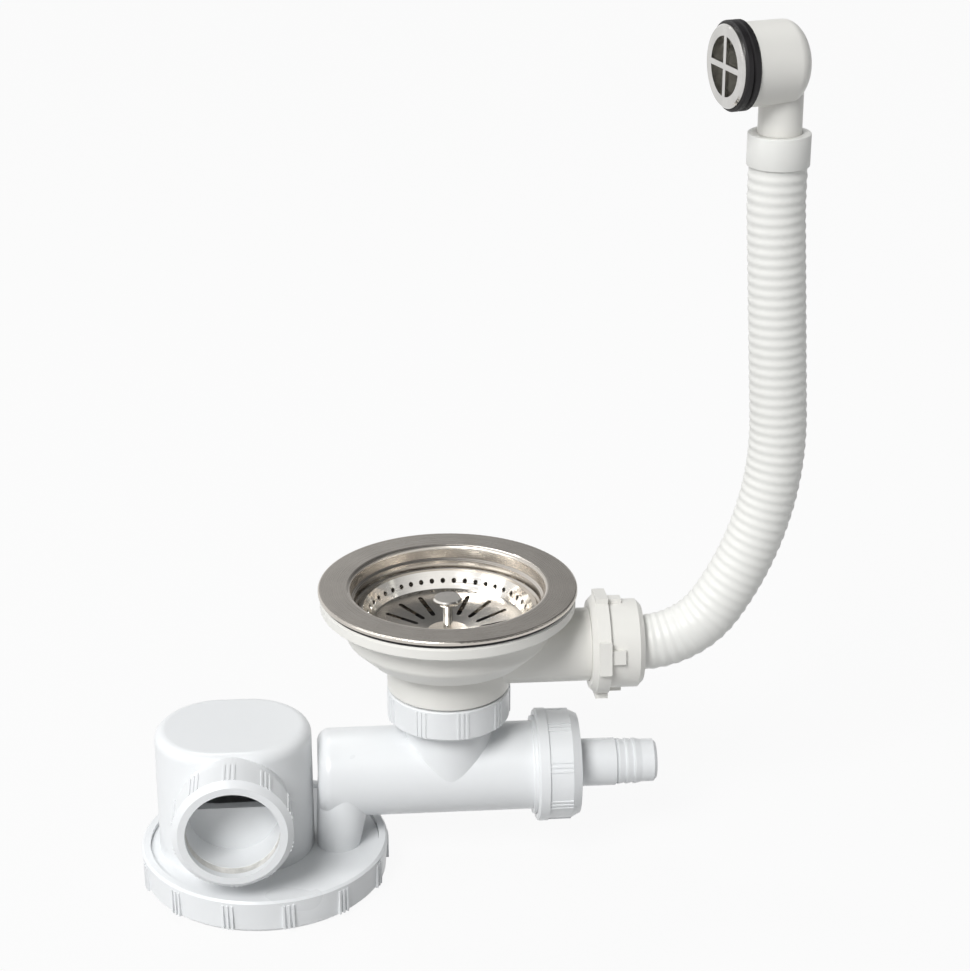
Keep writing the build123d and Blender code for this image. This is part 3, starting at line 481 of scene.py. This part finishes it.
class WASTEKIT_OT_stage(Operator):
    """Pale floor, soft studio light and the camera"""

    bl_idname = "wastekit.stage"
    bl_label = "Stage"

    def lamp(self, scene, light, place):
        """Puts a light in the scene, turned to what it lights."""
        holder = bpy.data.objects.new(light.name, light)
        holder.location = place
        holder.rotation_euler = (Vector(LIT_POINT) - Vector(place)).to_track_quat("-Z", "Y").to_euler()
        scene.collection.objects.link(holder)

    def room(self, scene, stage):
        """Even light from a white room, whose reflections are darker toward the upper right."""
        world = bpy.data.worlds.new("studio_room")
        world.use_nodes = True
        scene.world = world
        tree = world.node_tree
        even = tree.nodes["Background"]
        even.inputs["Color"].default_value = ROOM_TINT
        even.inputs["Strength"].default_value = stage.world_level
        toward = tree.nodes.new("ShaderNodeVectorMath")
        toward.operation = "DOT_PRODUCT"
        toward.inputs[1].default_value = BRIGHT_SIDE
        tree.links.new(tree.nodes.new("ShaderNodeTexCoord").outputs["Generated"], toward.inputs[0])
        dark = (stage.dome_dark, stage.dome_dark, stage.dome_dark)
        dome = tree.nodes.new("ShaderNodeBackground")
        way = spread(tree, toward.outputs["Value"], low=0.0, high=1.0, start=-1.0, stop=1.0)
        shade = tint(tree, way, dark, light=WHITE[:3], start=DARK_SHARE, stop=WHITE_SHARE)
        tree.links.new(shade, dome.inputs["Color"])
        white = tree.nodes.new("ShaderNodeBackground")
        white.inputs["Color"].default_value = WHITE
        path = tree.nodes.new("ShaderNodeLightPath")
        shown = tree.nodes.new("ShaderNodeMath")
        shown.operation = "MAXIMUM"
        tree.links.new(path.outputs["Is Glossy Ray"], shown.inputs[0])
        tree.links.new(path.outputs["Is Transmission Ray"], shown.inputs[1])
        mirrored = tree.nodes.new("ShaderNodeMixShader")
        tree.links.new(shown.outputs["Value"], mirrored.inputs["Fac"])
        tree.links.new(even.outputs["Background"], mirrored.inputs[1])
        tree.links.new(dome.outputs["Background"], mirrored.inputs[2])
        whole = tree.nodes.new("ShaderNodeMixShader")
        tree.links.new(path.outputs["Is Camera Ray"], whole.inputs["Fac"])
        tree.links.new(mirrored.outputs["Shader"], whole.inputs[1])
        tree.links.new(white.outputs["Background"], whole.inputs[2])
        tree.links.new(whole.outputs["Shader"], tree.nodes["World Output"].inputs["Surface"])

    def seen(self, tree):
        """One where the ray comes from the camera, a reflection or a clear piece."""
        path = tree.nodes.new("ShaderNodeLightPath")
        first = tree.nodes.new("ShaderNodeMath")
        first.operation = "ADD"
        tree.links.new(path.outputs["Is Camera Ray"], first.inputs[0])
        tree.links.new(path.outputs["Is Glossy Ray"], first.inputs[1])
        both = tree.nodes.new("ShaderNodeMath")
        both.operation = "ADD"
        both.use_clamp = True
        tree.links.new(first.outputs["Value"], both.inputs[0])
        tree.links.new(path.outputs["Is Transmission Ray"], both.inputs[1])
        return both.outputs["Value"]

    def floor(self, scene, stage):
        """Paper floor that shows almost white and keeps the shadow."""
        bm = bmesh.new()
        bmesh.ops.create_grid(bm, x_segments=1, y_segments=1, size=FLOOR_HALF)
        bmesh.ops.translate(bm, verts=bm.verts[:], vec=(0, 0, stage.floor_z))
        mesh = bpy.data.meshes.new("studio_floor")
        bm.to_mesh(mesh)
        bm.free()
        finish, tree, shader, place = start_finish("floor_paper")
        base = tuple(stage.floor)
        hue = tint(tree, cloud(tree, place, scale=3.0), dark=shaded(base, share=0.99), light=base)
        tree.links.new(hue, shader.inputs["Base Color"])
        shader.inputs["Roughness"].default_value = 0.9
        shader.inputs["Specular IOR Level"].default_value = 0.1
        glow = tree.nodes.new("ShaderNodeEmission")
        glow.inputs["Color"].default_value = WHITE
        mix = tree.nodes.new("ShaderNodeMixShader")
        lit = spread(tree, self.seen(tree), low=0.0, high=stage.floor_glow, start=0.0, stop=1.0)
        tree.links.new(lit, mix.inputs["Fac"])
        tree.links.new(shader.outputs["BSDF"], mix.inputs[1])
        tree.links.new(glow.outputs["Emission"], mix.inputs[2])
        tree.links.new(mix.outputs["Shader"], tree.nodes["Material Output"].inputs["Surface"])
        mesh.materials.append(finish)
        floor = bpy.data.objects.new("studio_floor", mesh)
        scene.collection.objects.link(floor)

    def execute(self, context):
        scene = context.scene
        stage = scene.wastekit_stage
        scene.view_settings.view_transform = "Standard"
        self.floor(scene, stage)
        self.room(scene, stage)
        sun = bpy.data.lights.new("key_light", "SUN")
        sun.energy = stage.key_level
        sun.angle = stage.key_spread
        self.lamp(scene, sun, KEY_PLACE)
        side = bpy.data.lights.new("side_light", "AREA")
        side.energy = stage.side_power
        side.size = SIDE_SIZE
        self.lamp(scene, side, SIDE_PLACE)
        back = bpy.data.lights.new("back_light", "AREA")
        back.energy = stage.back_power
        back.size = BACK_SIZE
        self.lamp(scene, back, BACK_PLACE)

        eye = bpy.data.cameras.new("photo_camera")
        eye.lens = stage.camera_lens
        eye.sensor_width = stage.camera_sensor
        camera = bpy.data.objects.new("photo_camera", eye)
        camera.location = stage.camera_place
        camera.rotation_euler = Vector(stage.camera_look).to_track_quat("-Z", "Y").to_euler()
        scene.collection.objects.link(camera)
        scene.camera = camera
        return {"FINISHED"}


class WASTEKIT_PT_panel(Panel):
    """Sizes, colours and pieces of the waste kit"""

    bl_idname = "WASTEKIT_PT_panel"
    bl_label = "Sink waste and trap kit"
    bl_space_type = "VIEW_3D"
    bl_region_type = "UI"
    bl_category = "Waste kit"

    def draw(self, context):
        for group in (
            context.scene.wastekit_finishes, context.scene.wastekit_hose, context.scene.wastekit_stage,
        ):
            column = self.layout.column(align=True)
            for name in group.__annotations__:
                column.prop(group, name)
        for operator in OPERATORS:
            self.layout.operator(operator.bl_idname)


OPERATORS = (
    WASTEKIT_OT_steel, WASTEKIT_OT_rubber, WASTEKIT_OT_brass, WASTEKIT_OT_plastic, WASTEKIT_OT_grille,
    WASTEKIT_OT_hose, WASTEKIT_OT_stage,
)
GROUPS = (WasteKitFinishes, WasteKitHose, WasteKitStage)


def register():
    for group in GROUPS:
        bpy.utils.register_class(group)
    bpy.types.Scene.wastekit_finishes = PointerProperty(type=WasteKitFinishes)
    bpy.types.Scene.wastekit_hose = PointerProperty(type=WasteKitHose)
    bpy.types.Scene.wastekit_stage = PointerProperty(type=WasteKitStage)
    for operator in OPERATORS:
        bpy.utils.register_class(operator)
    bpy.utils.register_class(WASTEKIT_PT_panel)


def unregister():
    bpy.utils.unregister_class(WASTEKIT_PT_panel)
    for operator in reversed(OPERATORS):
        bpy.utils.unregister_class(operator)
    del bpy.types.Scene.wastekit_stage
    del bpy.types.Scene.wastekit_hose
    del bpy.types.Scene.wastekit_finishes
    for group in reversed(GROUPS):
        bpy.utils.unregister_class(group)


def main():
    register()
    bpy.ops.wastekit.stage()
    bpy.ops.wastekit.steel()
    bpy.ops.wastekit.rubber()
    bpy.ops.wastekit.brass()
    bpy.ops.wastekit.plastic()
    bpy.ops.wastekit.grille()
    bpy.ops.wastekit.hose()


if __name__ == "__main__":
    main()
